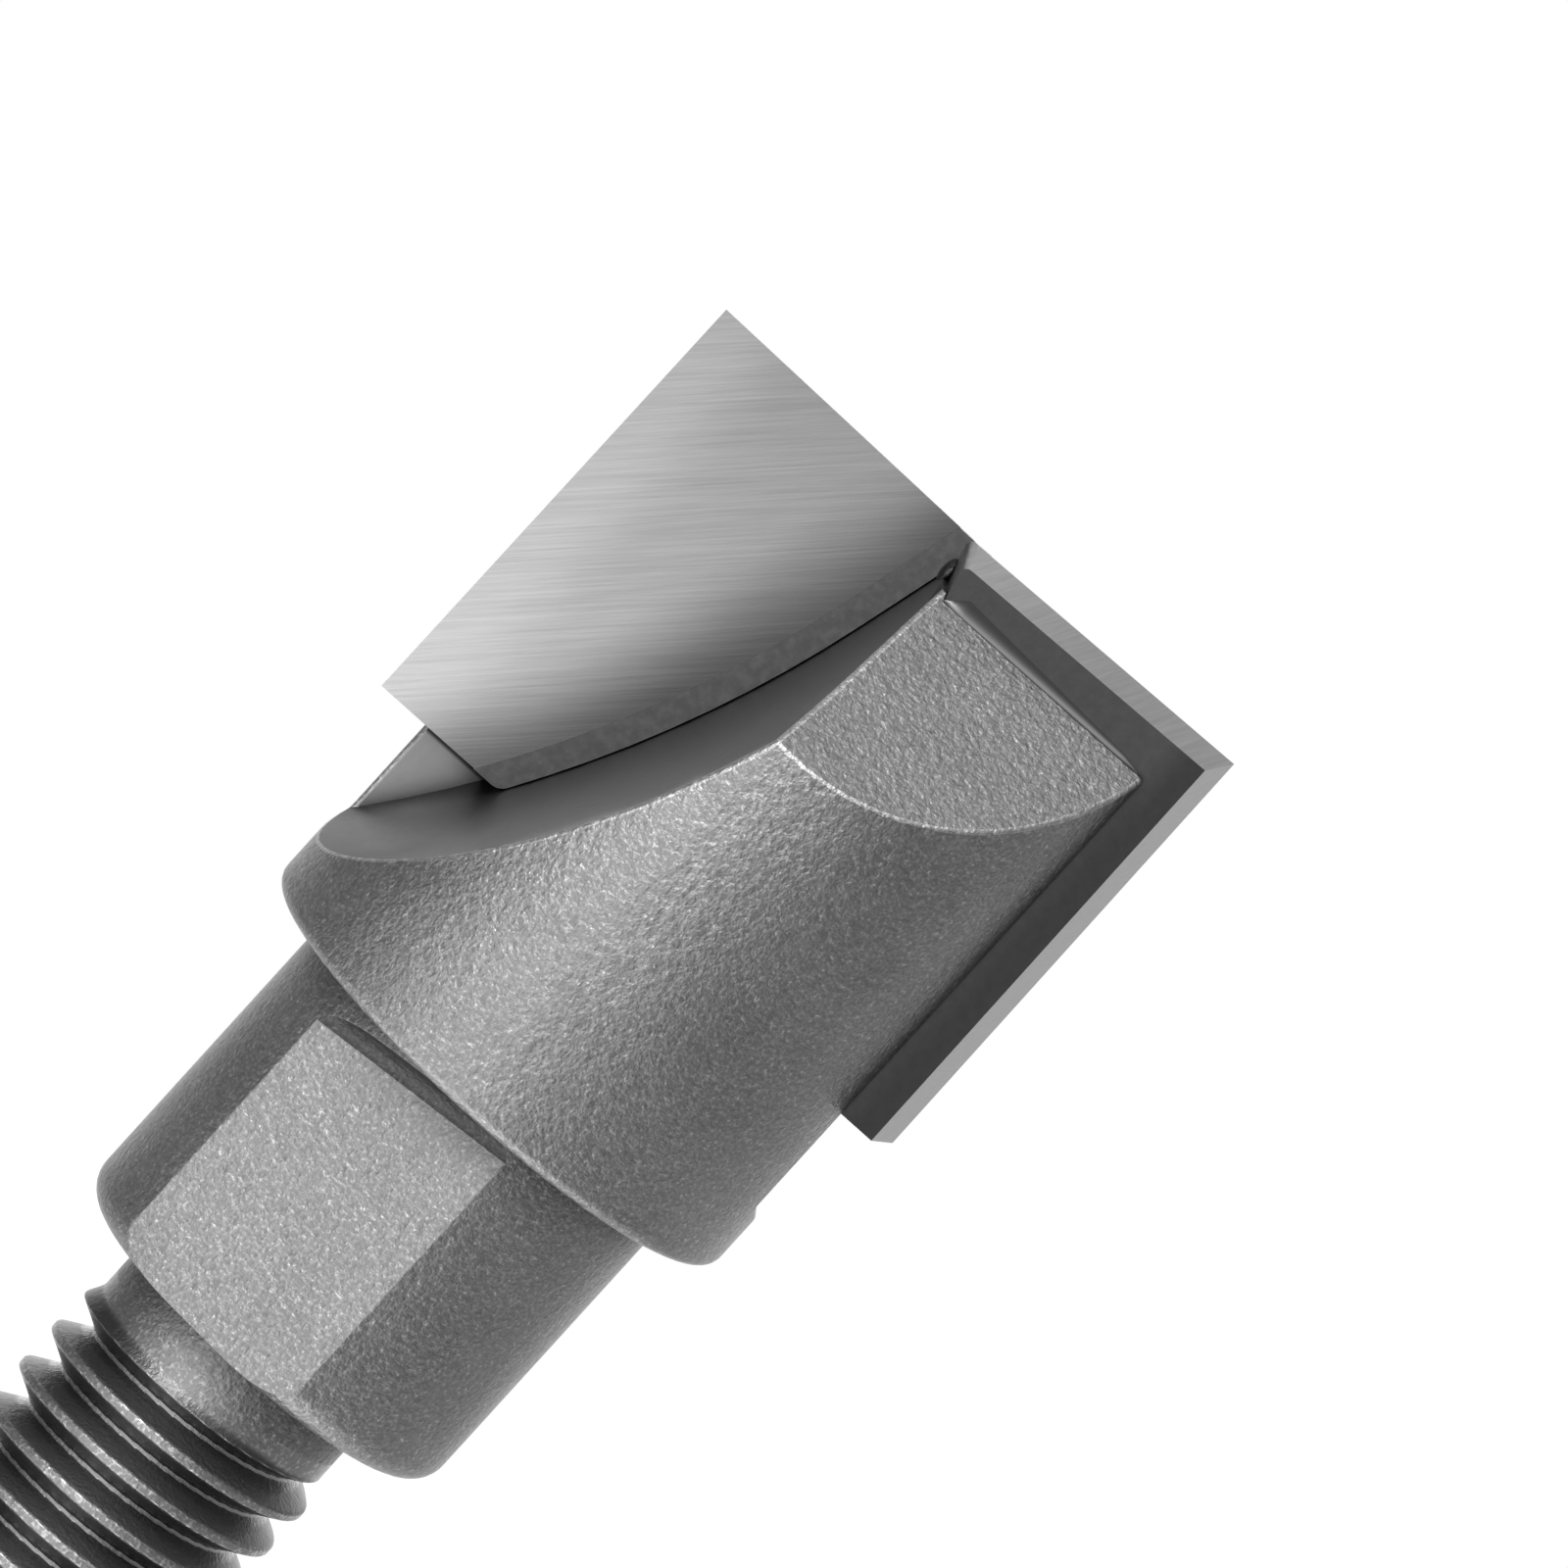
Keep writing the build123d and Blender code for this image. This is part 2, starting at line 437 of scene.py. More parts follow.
def blasted_steel(name):
    """Satin grey steel with the grain of bead blasting."""
    material, tree = new_material(name)
    base, painted_glint_grey = BLASTED_GREYS[name]
    place = object_place(tree)
    grain = noise(tree, place, GRAIN_SIZE, detail=2.0, roughness=0.6)
    lumps = noise(tree, place, LUMP_SIZE, detail=2.0, roughness=0.6)
    patches = noise(tree, place, PATCH_SIZE, detail=3.0, roughness=0.6)

    soft = add_node(tree, "ShaderNodeBevel", {"Radius": EDGE_SOFTNESS}, samples=EDGE_SAMPLES)
    height = calc(tree, "MULTIPLY_ADD", grain, GRAIN_HEIGHT, lumps)
    bump = bumped(tree, height, BLAST_DEPTH, soft.outputs["Normal"])

    speck = smooth_step(tree, grain, *SPECK_RANGE)
    # Painted glints: bright specks in the colour that stand in for sparkle
    glint = smooth_step(tree, grain, *PAINTED_GLINT_RANGE)
    pit = calc(tree, "MULTIPLY", smooth_step(tree, lumps, *PIT_RANGE), PIT_STRENGTH)
    patch = smooth_step(tree, patches, *PATCH_RANGE)
    shade = mix_greys(tree, speck, [base * share for share in SPECK_SHARES])
    shade = mix(tree, glint, shade, grey(painted_glint_grey))
    shade = mix(tree, pit, shade, grey(base * PIT_SHARE))
    shade = mix(tree, patch, shade, dimmed(tree, shade, PATCH_SHARE))
    shade = shadowed(tree, shade, surface_normal(tree), BLAST_SHADOW)
    finish_metal(tree, shade, roughness_by(tree, lumps, BLAST_ROUGH), bump)
    return material


def thread_steel():
    """The blasted steel of the stud, with painted light: light on the crests, painted shade on the flanks
    that is lighter where they face up, a painted highlight line at the roots, and painted shade on the
    neck's blend.
    """
    material, tree = new_material("thread_steel")
    place = object_place(tree)
    normal = surface_normal(tree)
    spot = axes(tree, place)
    reach = hypotenuse(tree, spot["X"], spot["Y"])
    lean = axes(tree, normal)["Z"]
    tilt = calc(tree, "ABSOLUTE", lean)
    grain = noise(tree, place, THREAD_GRAIN_SIZE, detail=2.0, roughness=0.55)
    lumps = noise(tree, place, THREAD_LUMP_SIZE, detail=2.0, roughness=0.6)
    bump = bumped(tree, calc(tree, "ADD", grain, lumps), THREAD_DEPTH)
    speck = smooth_step(tree, grain, *THREAD_SPECK_RANGE)

    # Painted shade on the flanks, lighter where they face up, and a painted highlight at the roots
    flank = mix_greys(tree, smooth_step(tree, lean, *FLANK_SHADE_LEAN_RANGE), FLANK_SHADE_GREYS)
    bottom = mix(tree, smooth_step(tree, tilt, *ROOT_HIGHLIGHT_TILT_RANGE), grey(ROOT_HIGHLIGHT_GREY), flank)
    # Painted shade on the flanks of the neck's cone
    flank = mix(tree, smooth_step(tree, spot["Z"], *CONE_Z_RANGE), flank, grey(CONE_SHADE_GREY))
    above_bottom = smooth_step(tree, reach, *BOTTOM_REACH_RANGE)
    groove = mix(tree, above_bottom, bottom, flank)

    crest = mix_greys(tree, speck, CREST_GREYS)
    neck = shadowed(tree, mix_greys(tree, speck, NECK_GREYS), normal, BLAST_SHADOW)
    # Painted shade where the neck's blend faces up
    neck = mix(tree, smooth_step(tree, lean, *NECK_SHADE_LEAN_RANGE), neck, grey(NECK_SHADE_GREY))
    outside = mix(tree, smooth_step(tree, spot["Z"], *NECK_Z_RANGE), crest, neck)

    level = calc(tree, "MULTIPLY", smooth_step(tree, tilt, *LEVEL_TILT_RANGE),
                 calc(tree, "GREATER_THAN", reach, LEVEL_REACH))
    stud_end = smooth_step(tree, spot["Z"], *STUD_END_Z_RANGE)
    is_outside = calc(tree, "MAXIMUM", smooth_step(tree, reach, *CREST_REACH_RANGE), level)
    is_outside = calc(tree, "MAXIMUM", is_outside, stud_end)
    shade = mix(tree, is_outside, groove, outside)
    finish_metal(tree, shade, roughness_by(tree, above_bottom, THREAD_ROUGH), bump)
    return material


def milled_steel():
    """The smoother steel that the gullet cutter leaves on walls and seats: dark grey on the walls, with
    painted shade in corners, at each wall's foot and below each plate's tail.
    """
    material, tree = new_material("milled_steel")
    place = object_place(tree)
    normal = surface_normal(tree)
    spot = axes(tree, place)
    upright = calc(tree, "ABSOLUTE", axes(tree, normal)["Y"])
    fine = noise(tree, place, MILLED_GRAIN_SIZE, detail=3.0, roughness=0.6)
    wide = noise(tree, place, MILLED_PATCH_SIZE)

    wall = shadowed(tree, mix_greys(tree, wide, WALL_GREYS), normal, WALL_SHADOW)
    # Painted shade at the foot of the wall, where it meets the seat
    above_floor = calc(tree, "MULTIPLY_ADD", calc(tree, "SIGN", spot["X"]), spot["Y"], SEAT_Y)
    wall = mix(tree, smooth_step(tree, above_floor, *WALL_FOOT_SHADE_RANGE),
               dimmed(tree, wall, WALL_FOOT_SHADE_SHARE), wall)

    seat = mix_greys(tree, wide, SEAT_GREYS)
    seat = mix(tree, smooth_step(tree, upright, *SEAT_EDGE_RANGE), seat, grey(SEAT_EDGE_GREY))
    seat = shadowed(tree, seat, normal, SEAT_SHADOW)
    # Painted shadow on the seat just below each plate's tail
    tail_shadow = calc(tree, "MULTIPLY", smooth_step(tree, spot["Z"], *TAIL_SHADOW_Z_RANGE),
                calc(tree, "LESS_THAN", spot["Z"], TAIL_SHADOW_END_Z))
    seat = mix(tree, tail_shadow, seat, dimmed(tree, seat, TAIL_SHADOW_SHARE))

    shade = mix(tree, smooth_step(tree, upright, *SEAT_RANGE), wall, seat)
    finish_metal(tree, shade, roughness_by(tree, fine, MILLED_ROUGH), bumped(tree, fine, MILLED_DEPTH))
    return material


def wall_distance(tree, spot):
    """Distance along a plate from the outline of its gullet's wall."""
    side = calc(tree, "SIGN", spot["Y"])
    across = calc(tree, "SUBTRACT", calc(tree, "MULTIPLY", spot["X"], side), WALL_CENTRE_X)
    along = calc(tree, "SUBTRACT", spot["Z"], WALL_CENTRE_Z)
    return calc(tree, "SUBTRACT", WALL_RADIUS, hypotenuse(tree, across, along))


def rake_shade(tree, spot, spread, strokes, wide_strokes):
    """Colour of a ground rake face, with painted shade along the wall and away from the axis, and painted
    light towards the tail and the outer edge.
    """
    shade = mix_greys(tree, strokes, RAKE_GREYS)
    wide = calc(tree, "MULTIPLY", wide_strokes, WIDE_STROKE_STRENGTH)
    shade = mix(tree, wide, shade, grey(WIDE_STROKE_GREY))
    # Painted shade along the wall
    shade = mix(tree, smooth_step(tree, wall_distance(tree, spot), *RAKE_SHADE_RANGE),
                dimmed(tree, shade, RAKE_SHADE_SHARE), shade)
    # Painted light towards the tail and the outer edge, dimmer away from the axis
    climb = calc(tree, "MULTIPLY", calc(tree, "SUBTRACT", RAKE_CLIMB_Z, spot["Z"]),
                 smooth_step(tree, spread, *RAKE_CLIMB_RANGE))
    dim = calc(tree, "MULTIPLY", smooth_step(tree, spread, *RAKE_DIM_RANGE), RAKE_DIM)
    gain = calc(tree, "MULTIPLY_ADD", climb, RAKE_CLIMB_GAIN, calc(tree, "SUBTRACT", 1.0, dim))
    outer = smooth_step(tree, spread, *RAKE_OUTER_RANGE)
    gain = calc(tree, "MULTIPLY_ADD", outer, RAKE_OUTER_GAIN, gain)
    return vector_calc(tree, "SCALE", shade, gain)


def front_shade(tree, place, depth, spread):
    """Colour of a ground front flank, with strokes across its edge."""
    stroke_place = add_node(
        tree, "ShaderNodeCombineXYZ",
        {"X": vector_calc(tree, "DOT_PRODUCT", place, FRONT_SKEW),
         "Y": calc(tree, "MULTIPLY", depth, FRONT_DEPTH_STRETCH)},
    ).outputs["Vector"]
    strokes = noise(tree, stroke_place, FRONT_STROKE_SIZE, detail=3.0, roughness=0.7)
    inner = smooth_step(tree, spread, *FRONT_INNER_RANGE)
    gain = calc(tree, "MULTIPLY_ADD", inner, FRONT_INNER_GAIN, FRONT_GAIN)
    return vector_calc(tree, "SCALE", mix_greys(tree, strokes, FRONT_GREYS), gain)


def unground_shade(tree, mottle, spread, on_top):
    """Colour of a plate's sintered skin: the band along the wall on top, and the back."""
    band = mix_greys(tree, smooth_step(tree, mottle, *BAND_RANGE), BAND_GREYS)
    back = mix_greys(tree, mottle, BACK_GREYS)
    outer = smooth_step(tree, spread, *BACK_OUTER_RANGE)
    back = mix(tree, outer, back, dimmed(tree, back, BACK_OUTER_SHARE))
    return mix(tree, on_top, back, band)


def carbide():
    """Tungsten carbide: a brushed rake face and flanks, and dark unground faces."""
    material, tree = new_material("ground_carbide")
    place = object_place(tree)
    spot = axes(tree, place)
    facing = axes(tree, surface_normal(tree))
    depth = calc(tree, "ABSOLUTE", spot["Y"])
    spread = calc(tree, "ABSOLUTE", spot["X"])
    flat = smooth_step(tree, calc(tree, "ABSOLUTE", facing["Y"]), *FLAT_RANGE)
    on_top = calc(tree, "LESS_THAN", depth, SEAT_Y / 2)
    below_skin = calc(tree, "GREATER_THAN", depth, GROUND_DEPTH / 2)
    rake = calc(tree, "MULTIPLY", flat, calc(tree, "MULTIPLY", on_top, below_skin))
    unground = calc(tree, "MULTIPLY", flat, calc(tree, "SUBTRACT", 1.0, rake))

    along = vector_calc(tree, "DOT_PRODUCT", place, STROKE_ALONG)
    stroke_place = add_node(
        tree, "ShaderNodeCombineXYZ",
        {"X": calc(tree, "MULTIPLY", along, STROKE_STRETCH),
         "Y": vector_calc(tree, "DOT_PRODUCT", place, STROKE_ACROSS),
         "Z": calc(tree, "MULTIPLY", depth, STROKE_DEPTH_STRETCH)},
    ).outputs["Vector"]
    strokes = noise(tree, stroke_place, STROKE_SIZE, detail=3.0, roughness=0.7)
    wide_strokes = noise(tree, stroke_place, WIDE_STROKE_SIZE)
    mottle = noise(tree, place, MOTTLE_SIZE, detail=3.0, roughness=0.6)

    ground = rake_shade(tree, spot, spread, strokes, wide_strokes)
    skin = unground_shade(tree, mottle, spread, on_top)
    side = mix_greys(tree, strokes, SIDE_GREYS)
    front = front_shade(tree, place, depth, spread)
    flank = mix(tree, smooth_step(tree, facing["Z"], *FRONT_RANGE), side, front)
    shade = mix(tree, flat, flank, mix(tree, rake, skin, ground))
    height = calc(tree, "ADD", calc(tree, "MULTIPLY", strokes, calc(tree, "SUBTRACT", 1.0, unground)),
                  calc(tree, "MULTIPLY", calc(tree, "MULTIPLY", mottle, unground), MOTTLE_HEIGHT))
    finish_metal(tree, shade, roughness_by(tree, flat, CARBIDE_ROUGH), bumped(tree, height, CARBIDE_DEPTH))
    return material


def braze_metal():
    """Braze that has run smooth, with painted light where it lies level and painted shade where it climbs a
    plate.
    """
    material, tree = new_material("braze_metal")
    normal = surface_normal(tree)
    # Painted light where it faces up, painted shade where it climbs
    level = smooth_step(tree, axes(tree, normal)["Z"], *BRAZE_SHADE_LEAN_RANGE)
    finish_metal(tree, mix_greys(tree, level, BRAZE_SHADE_GREYS), BRAZE_ROUGHNESS, normal)
    return material


def new_object(name, made, material):
    """A linked object from a finished bmesh."""
    mesh = bpy.data.meshes.new(name)
    made.to_mesh(mesh)
    made.free()
    mesh.materials.append(material)
    piece = bpy.data.objects.new(name, mesh)
    bpy.context.scene.collection.objects.link(piece)
    return piece


def smooth_min(first, second, softness):
    """The lower of two arrays, rounded where they cross."""
    near = np.clip(0.5 + 0.5 * (second - first) / softness, 0.0, 1.0)
    return second + (first - second) * near - softness * near * (1.0 - near)


def thread_radius(angle, z):
    """Radius of the stud's surface at an angle from +X towards +Y and a height."""
    turned = np.mod(angle - GROOVE_TURN, 2 * pi)
    neck = np.clip((z - NECK_START_Z) / NECK_BLEND, 0.0, 1.0)
    neck = neck * neck * (3.0 - 2.0 * neck)
    radius = CREST_RADIUS + (NECK_RADIUS - CREST_RADIUS) * neck
    turns = int(NECK_START_Z / PITCH) + 2
    for turn in range(-turns, 2):
        helix = turned + turn * 2 * pi
        centre = GROOVE_Z + PITCH * helix / (2 * pi)
        fade = np.clip((helix + GROOVE_TURN - RUN_OUT_START) / RUN_OUT_LENGTH, 0.0, 1.0)
        apart = np.sqrt((z - centre) ** 2 + ROOT_SOFTNESS ** 2) - ROOT_SOFTNESS
        cut = ROOT_RADIUS + np.maximum(apart - ROOT_HALF_WIDTH, 0.0) * FLANK_SLOPE
        cut = cut + fade * (CREST_RADIUS - ROOT_RADIUS)
        radius = smooth_min(radius, cut, CREST_SOFTNESS)
    chamfer = STUD_RADIUS - CHAMFER + np.maximum(z, 0.0)
    radius = smooth_min(radius, chamfer, CHAMFER_SOFTNESS)
    ease = np.clip((THREAD_TOP_Z - z) / THREAD_TOP_EASE, 0.0, 1.0)
    return NECK_RADIUS + (radius - NECK_RADIUS) * ease


def add_thread(made):
    """The threaded stud, as rings of faces from its flat end up."""
    angles = np.arange(THREAD_SIDES) * 2 * pi / THREAD_SIDES
    rows = []
    for z in np.linspace(0.0, THREAD_TOP_Z - THREAD_TOP_GAP, THREAD_ROWS):
        radii = thread_radius(angles, np.full_like(angles, z))
        rows.append([made.verts.new((r * cos(a), r * sin(a), z)) for r, a in zip(radii, angles)])
    for lower, upper in zip(rows, rows[1:]):
        for side in range(THREAD_SIDES):
            after = (side + 1) % THREAD_SIDES
            face = made.faces.new((lower[side], lower[after], upper[after], upper[side]))
            face.smooth = True
            face.material_index = THREAD
    end = made.faces.new(list(reversed(rows[0])))
    end.material_index = THREAD
    bmesh.ops.triangulate(made, faces=[end])


def on_flat_root(above_flat, below_end):
    """True for a point of the rounded root of a flat, or of the short step that tops it."""
    if above_flat < -ON_PLANE or below_end < -ON_ROOT or below_end > FLAT_ROOT_RADIUS + ON_ROOT:
        return False
    if above_flat >= FLAT_ROOT_RADIUS:
        return below_end < ON_ROOT
    bow = sqrt((FLAT_ROOT_RADIUS - above_flat) ** 2 + (FLAT_ROOT_RADIUS - below_end) ** 2)
    return abs(bow - FLAT_ROOT_RADIUS) < ON_ROOT


def lift_flat_ends(made):
    """Carry the rounded end of each wrench flat up to where it nearly meets the shoulder."""
    end_rise = tan(FLAT_END_TILT)
    roots = set()
    for turn in (FLAT_TURN, FLAT_TURN + pi):
        outward = Vector((sin(turn), -cos(turn), 0.0))
        along = Vector((cos(turn), sin(turn), 0.0))
        for face in made.faces:
            if face.normal.dot(outward) > FLAT_COSINE and face.calc_center_median().z < SHOULDER_Z:
                face.smooth = False
        for vert in made.verts:
            across = vert.co.dot(along)
            below_end = SHOULDER_Z - FLAT_END_GAP + across * end_rise - vert.co.z
            below_end = below_end * cos(FLAT_END_TILT)
            if on_flat_root(vert.co.dot(outward) - FLAT_DEPTH, below_end):
                floor_end = FLAT_END_SLOPE * across - FLAT_END_BOW * across * across - FLAT_END_DROP
                climb = 1.0 - min(max(below_end / FLAT_ROOT_RADIUS, 0.0), 1.0)
                vert.co.z = SHOULDER_Z + floor_end + ROOT_HEIGHT * climb
                roots.add(vert)
    for face in made.faces:
        if all(vert in roots for vert in face.verts):
            # The root faces take the shaded root steel, painted shade under the head's overhang
            face.material_index = ROOT


def wall_gap(x, y, z):
    """Distance of a point from the wall of the gullet that opens towards -Y, 0 on the wall."""
    if z > WALL_TURN_Z:
        level = (WALL_TURN_X - x) * cos(WALL_FEED) + (z - WALL_TURN_Z) * sin(WALL_FEED)
    else:
        level = WALL_RADIUS - sqrt((x - WALL_CENTRE_X) ** 2 + (z - WALL_CENTRE_Z) ** 2)
    return level - y * WALL_LEAN


def on_wall(spot, normal, side):
    """True for a face at that spot on the wall of the gullet on that side."""
    x, y, z = side * spot.x, side * spot.y, spot.z
    gap = wall_gap(x, y, z)
    if abs(gap) > ON_WALL:
        return False
    steepest = Vector((
        wall_gap(x + WALL_STEP, y, z) - gap,
        wall_gap(x, y + WALL_STEP, z) - gap,
        wall_gap(x, y, z + WALL_STEP) - gap,
    )).normalized()
    return abs(steepest.dot(Vector((side * normal.x, side * normal.y, normal.z)))) > WALL_COSINE


def on_relief(normal):
    """True for the direction that a relief facet faces."""
    return (abs(abs(normal.y) - RELIEF_NORMAL[0]) < RELIEF_MARGIN
            and abs(normal.z - RELIEF_NORMAL[1]) < RELIEF_MARGIN)


def is_plane(face):
    """True for a face of a plate's seat or of a relief facet."""
    middle = face.calc_center_median()
    on_seat = abs(face.normal.y) > SEAT_COSINE and abs(abs(middle.y) - SEAT_Y) < ON_PLANE
    return on_seat or (on_relief(face.normal) and middle.z > SHOULDER_Z)


def face_finish(face):
    """The place of a face's material in the body's list: milled in a gullet, worn and lit brighter on an
    edge (wear with a painted highlight), or blasted.
    """
    middle = face.calc_center_median()
    normal = face.normal
    if middle.z < SHOULDER_Z + RIM_HEIGHT:
        return BLASTED
    near_seat = abs(abs(middle.y) - SEAT_Y) < NEAR_SEAT and middle.z < RELIEF_LOW_Z
    if near_seat and abs(normal.y) > NEAR_SEAT_COSINE:
        return MILLED
    if on_wall(middle, normal, 1) or on_wall(middle, normal, -1):
        return MILLED
    outward = Vector((middle.x, middle.y, 0.0)).normalized()
    on_surface = normal.dot(outward) > ROUND_COSINE or normal.z > TOP_COSINE or on_relief(normal)
    # Faces on edges take the worn steel, which is wear with a painted highlight
    return BLASTED if on_surface else WORN_HIGHLIT


def dressed_body(materials):
    """The turned body with its thread cut in place of the plain stud."""
    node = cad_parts["cutter_body"]
    mesh = node.data.copy()
    mesh.name = "dressed_body"
    if "custom_normal" in mesh.attributes:
        mesh.attributes.remove(mesh.attributes["custom_normal"])
    mesh.materials.clear()
    for material in materials:
        mesh.materials.append(material)
    made = bmesh.new()
    made.from_mesh(mesh)
    bmesh.ops.remove_doubles(made, verts=made.verts, dist=WELD_DISTANCE)
    bmesh.ops.bisect_plane(
        made, geom=made.verts[:] + made.edges[:] + made.faces[:], dist=CUT_DISTANCE,
        plane_co=(0, 0, THREAD_TOP_Z), plane_no=(0, 0, 1), clear_inner=True,
    )
    for face in made.faces:
        face.material_index = face_finish(face)
        face.smooth = not is_plane(face)
    lift_flat_ends(made)
    add_thread(made)

    open_edges = [edge for edge in made.edges if edge.is_boundary]
    joined = bmesh.ops.bridge_loops(made, edges=open_edges)
    for face in joined["faces"]:
        face.smooth = True
        face.material_index = BLASTED
    bmesh.ops.recalc_face_normals(made, faces=made.faces[:])
    for edge in made.edges:
        edge.smooth = len(edge.link_faces) == 2 and edge.calc_face_angle(0.0) < SHARP_ANGLE
    made.to_mesh(mesh)
    made.free()
    body = bpy.data.objects.new("dressed_body", mesh)
    bpy.context.scene.collection.objects.link(body)
    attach(body, "root")
    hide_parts("cutter_body")


def nose_braze(material):
    """The bead of braze that closes the slit between the noses of the two plates."""
    around, upward = BRAZE_SEGMENTS
    made = bmesh.new()
    bmesh.ops.create_uvsphere(made, u_segments=around, v_segments=upward, radius=1.0)
    bmesh.ops.scale(made, verts=made.verts, vec=BRAZE_SIZE)
    bmesh.ops.translate(made, verts=made.verts, vec=(0.0, 0.0, BRAZE_Z))
    for face in made.faces:
        face.smooth = True
    bead = new_object("nose_braze", made, material)
    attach(bead, "root")


def between(pair, share):
    """The number that lies that share of the way from the first of a pair to the second."""
    return pair[0] + (pair[1] - pair[0]) * share


def fillet_place(along, turned):
    """A spot on the fillet: along from 0 by the axis to 1, turned from 0 on the facet to 1 on the plate."""
    ends = min(1.0, FILLET_END_RATE * along, FILLET_END_RATE * (1.0 - along))
    angle = turned * pi / 2
    return Vector((
        between(FILLET_SPREAD, along),
        -SEAT_Y - FILLET_REACH * (1.0 - sin(angle)),
        FILLET_FOOT_Z + between(FILLET_RISE, along) * ends * (1.0 - cos(angle)),
    ))


def relief_braze(material):
    """The hollow fillet of braze between each relief facet and the back of the plate beside it."""
    made = bmesh.new()
    for side in (-1, 1):
        rows = []
        for step in range(FILLET_STEPS + 1):
            along = step / FILLET_STEPS
            spots = [fillet_place(along, turn / FILLET_TURNS) for turn in range(FILLET_TURNS + 1)]
            rows.append([made.verts.new((side * spot.x, side * spot.y, spot.z)) for spot in spots])
        for first, second in zip(rows, rows[1:]):
            for turn in range(FILLET_TURNS):
                face = made.faces.new((first[turn], second[turn], second[turn + 1], first[turn + 1]))
                face.smooth = True
    fillet = new_object("relief_braze", made, material)
    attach(fillet, "root")


def floor():
    """A pale round floor that fades into the white around it."""
    material, tree = new_material("pale_floor")
    spot = axes(tree, object_place(tree))
    distance = hypotenuse(tree, spot["X"], spot["Y"])
    paint = add_node(tree, "ShaderNodeBsdfDiffuse", {"Color": grey(FLOOR_WHITE)}).outputs["BSDF"]
    clear = add_node(tree, "ShaderNodeBsdfTransparent").outputs["BSDF"]
    fade = add_node(tree, "ShaderNodeMixShader")
    tree.links.new(smooth_step(tree, distance, FLOOR_SOLID, FLOOR_RADIUS), fade.inputs["Fac"])
    tree.links.new(paint, fade.inputs[1])
    tree.links.new(clear, fade.inputs[2])
    add_node(tree, "ShaderNodeOutputMaterial", {"Surface": fade.outputs["Shader"]})

    made = bmesh.new()
    bmesh.ops.create_circle(made, cap_ends=True, segments=FLOOR_SEGMENTS, radius=FLOOR_RADIUS)
    disc = new_object("floor", made, material)
    disc.visible_glossy = False


def direction(azimuth_deg, elevation_deg):
    """Unit vector towards an azimuth, 0 for -Y and 90 for +X, and an elevation."""
    azimuth, elevation = radians(azimuth_deg), radians(elevation_deg)
    return Vector((sin(azimuth) * cos(elevation), -cos(azimuth) * cos(elevation), sin(elevation)))


def light_tent():
    """The studio that the metal mirrors: soft boxes on dim walls, seen only in reflections."""
    material, tree = new_material("light_tent")
    towards = vector_calc(tree, "NORMALIZE", object_place(tree))
    total = TENT_BASE
    for azimuth, elevation, tightness, strength in SOFTBOXES.values():
        facing = vector_calc(tree, "DOT_PRODUCT", towards, direction(azimuth, elevation)[:])
        reach = calc(tree, "MULTIPLY", calc(tree, "SUBTRACT", facing, 1.0), tightness)
        total = calc(tree, "ADD", total, calc(tree, "MULTIPLY", calc(tree, "EXPONENT", reach), strength))
    glow = add_node(tree, "ShaderNodeEmission", {"Strength": total}).outputs["Emission"]
    add_node(tree, "ShaderNodeOutputMaterial", {"Surface": glow})

    around, upward = TENT_SEGMENTS
    made = bmesh.new()
    bmesh.ops.create_uvsphere(made, u_segments=around, v_segments=upward, radius=TENT_RADIUS)
    tent = new_object("light_tent", made, material)
    tent.location = TENT_CENTRE
    tent.visible_camera = False
    tent.visible_diffuse = False
    tent.visible_shadow = False
    tent.visible_transmission = False


def white_world():
    """White to the eye and in mirrors, and a plain level of light for the rest."""
    world = bpy.data.worlds.new("studio")
    bpy.context.scene.world = world
    world.use_nodes = True
    tree = world.node_tree
    tree.nodes.clear()
    rays = add_node(tree, "ShaderNodeLightPath").outputs
    seen = calc(tree, "MAXIMUM", rays["Is Camera Ray"],
                calc(tree, "MAXIMUM", rays["Is Glossy Ray"], rays["Is Transmission Ray"]))
    strength = calc(tree, "ADD", WORLD_ON_FLOOR, calc(tree, "MULTIPLY", seen, 1.0 - WORLD_ON_FLOOR))
    background = add_node(tree, "ShaderNodeBackground", {"Color": grey(1.0), "Strength": strength})
    add_node(tree, "ShaderNodeOutputWorld", {"Surface": background.outputs["Background"]})


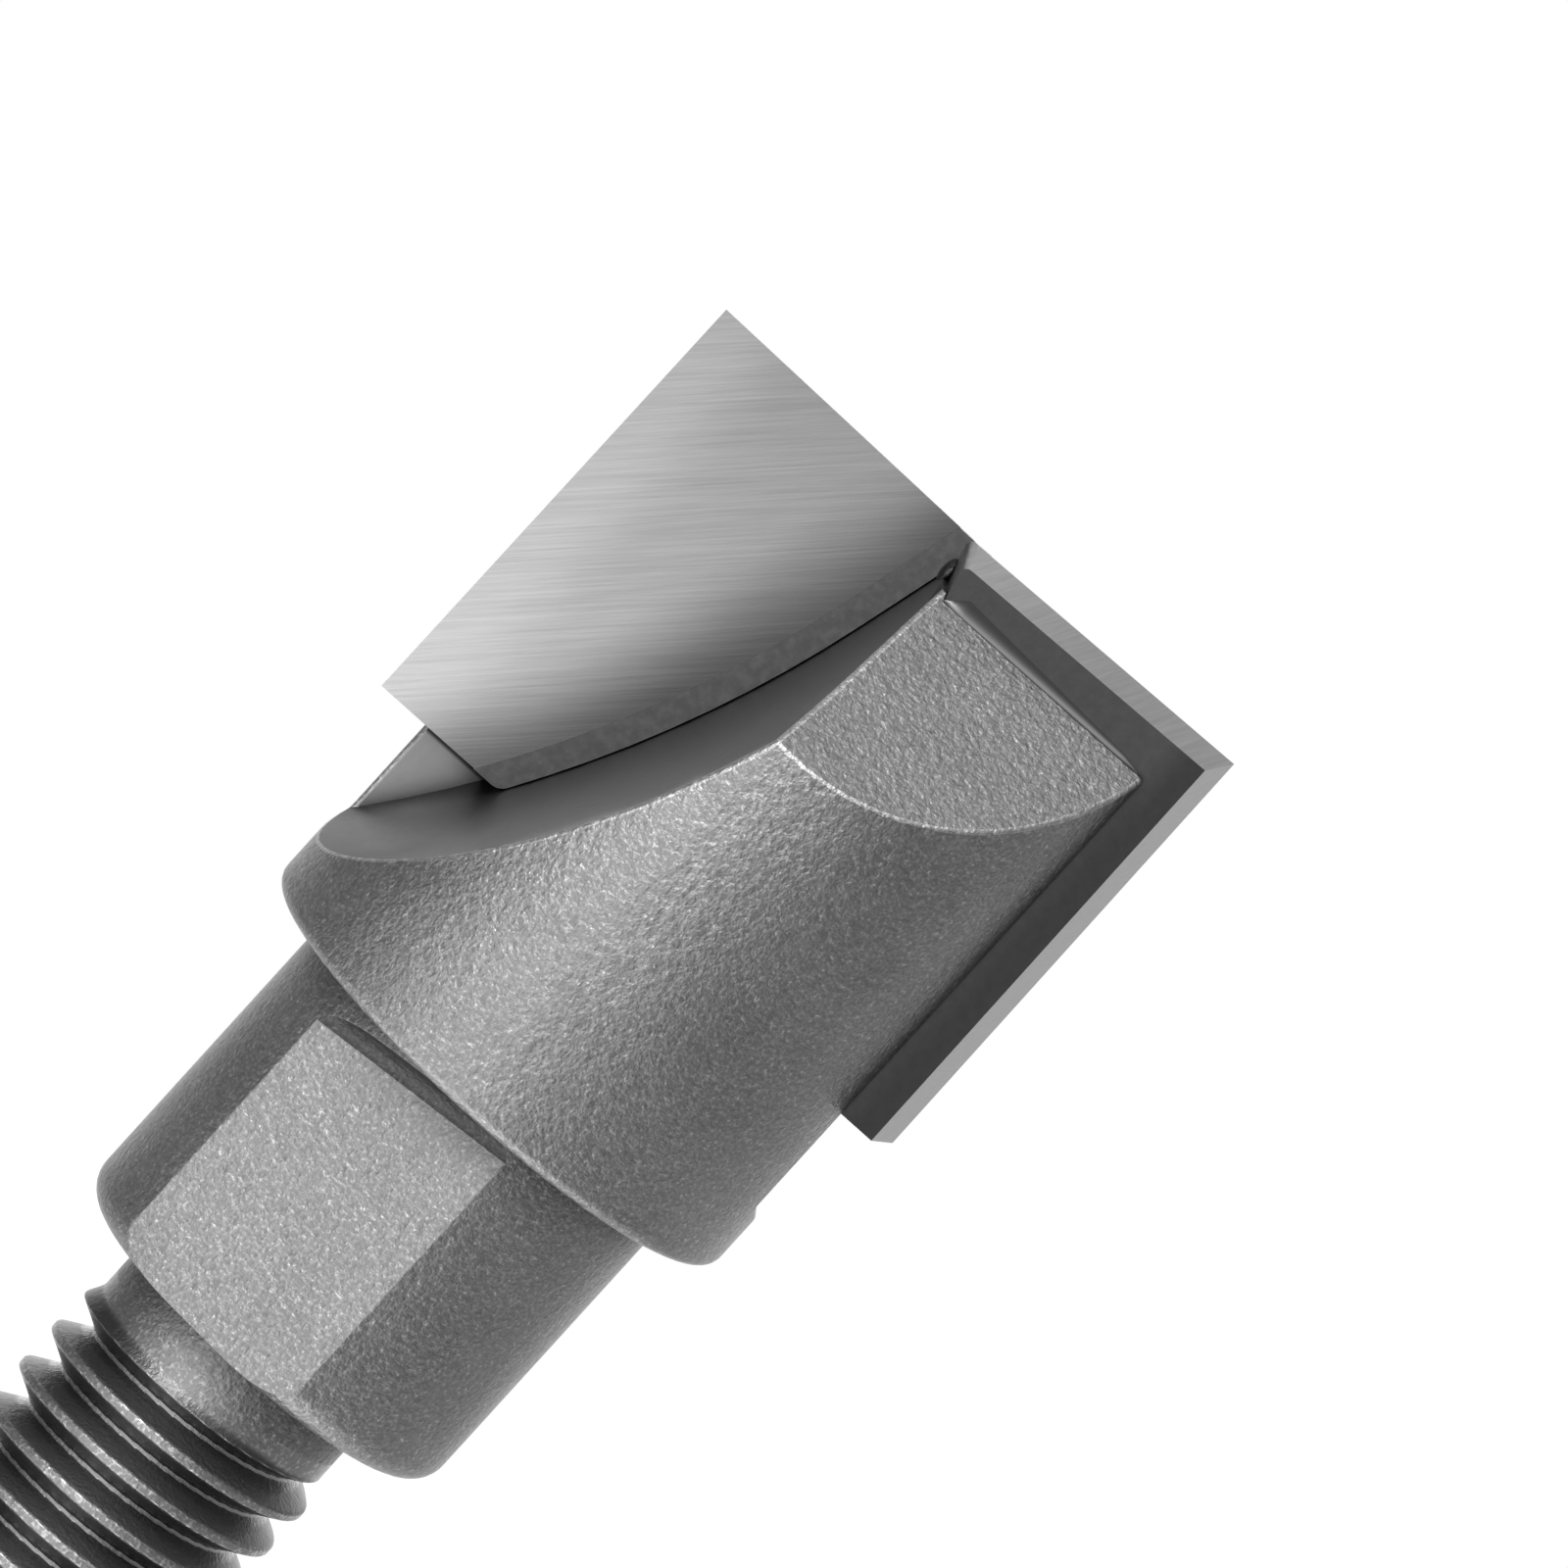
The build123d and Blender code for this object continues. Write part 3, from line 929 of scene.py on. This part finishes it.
def key_lamp():
    """A square area lamp that faces the bit."""
    lamp = bpy.data.lights.new("key_lamp", "AREA")
    lamp.shape = "SQUARE"
    lamp.size = KEY_SIZE
    lamp.energy = KEY_POWER
    stand = bpy.data.objects.new("key_lamp", lamp)
    aim = direction(KEY_AZIMUTH_DEG, KEY_ELEVATION_DEG)
    stand.location = Vector(TENT_CENTRE) + aim * KEY_DISTANCE
    stand.rotation_mode = "QUATERNION"
    stand.rotation_quaternion = aim.to_track_quat("Z", "Y")
    bpy.context.scene.collection.objects.link(stand)


def camera():
    """The photograph's camera: a nearly parallel view, placed by the pixel of the shoulder's centre."""
    back = direction(CAMERA_AZIMUTH_DEG, CAMERA_ELEVATION_DEG)
    level = direction(CAMERA_AZIMUTH_DEG + 90, 0)
    upright = back.cross(level)
    right = cos(CAMERA_ROLL) * level + sin(CAMERA_ROLL) * upright
    up = back.cross(right)
    pixel = FRAME_WIDTH / IMAGE_PIXELS
    middle = (
        Vector((0.0, 0.0, SHOULDER_Z))
        + right * (IMAGE_PIXELS / 2 - SHOULDER_PIXEL[0]) * pixel
        + up * (SHOULDER_PIXEL[1] - IMAGE_PIXELS / 2) * pixel
    )
    lens = bpy.data.cameras.new("camera")
    lens.sensor_width = SENSOR_MM
    lens.lens = SENSOR_MM * CAMERA_DISTANCE / FRAME_WIDTH
    lens.clip_start, lens.clip_end = CAMERA_CLIP
    eye = bpy.data.objects.new("camera", lens)
    place = Matrix((right, up, back)).transposed().to_4x4()
    place.translation = middle + back * CAMERA_DISTANCE
    eye.matrix_world = place
    bpy.context.scene.collection.objects.link(eye)
    bpy.context.scene.camera = eye


shaded_root_steel = blasted_steel("shaded_root_steel")
dressed_body((
    blasted_steel("blasted_steel"), milled_steel(), thread_steel(), blasted_steel("worn_and_highlit_steel"), shaded_root_steel,
))
# The braze bead is coloured with the dark painted-shade grey of the flats' roots
nose_braze(shaded_root_steel)
relief_braze(braze_metal())
carbide_material = carbide()
for tip in ("carbide_tip_a", "carbide_tip_b"):
    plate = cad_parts[tip]
    plate.data.materials.clear()
    plate.data.materials.append(carbide_material)

floor()
light_tent()
white_world()
key_lamp()
camera()
bpy.context.scene.view_settings.view_transform = "Standard"
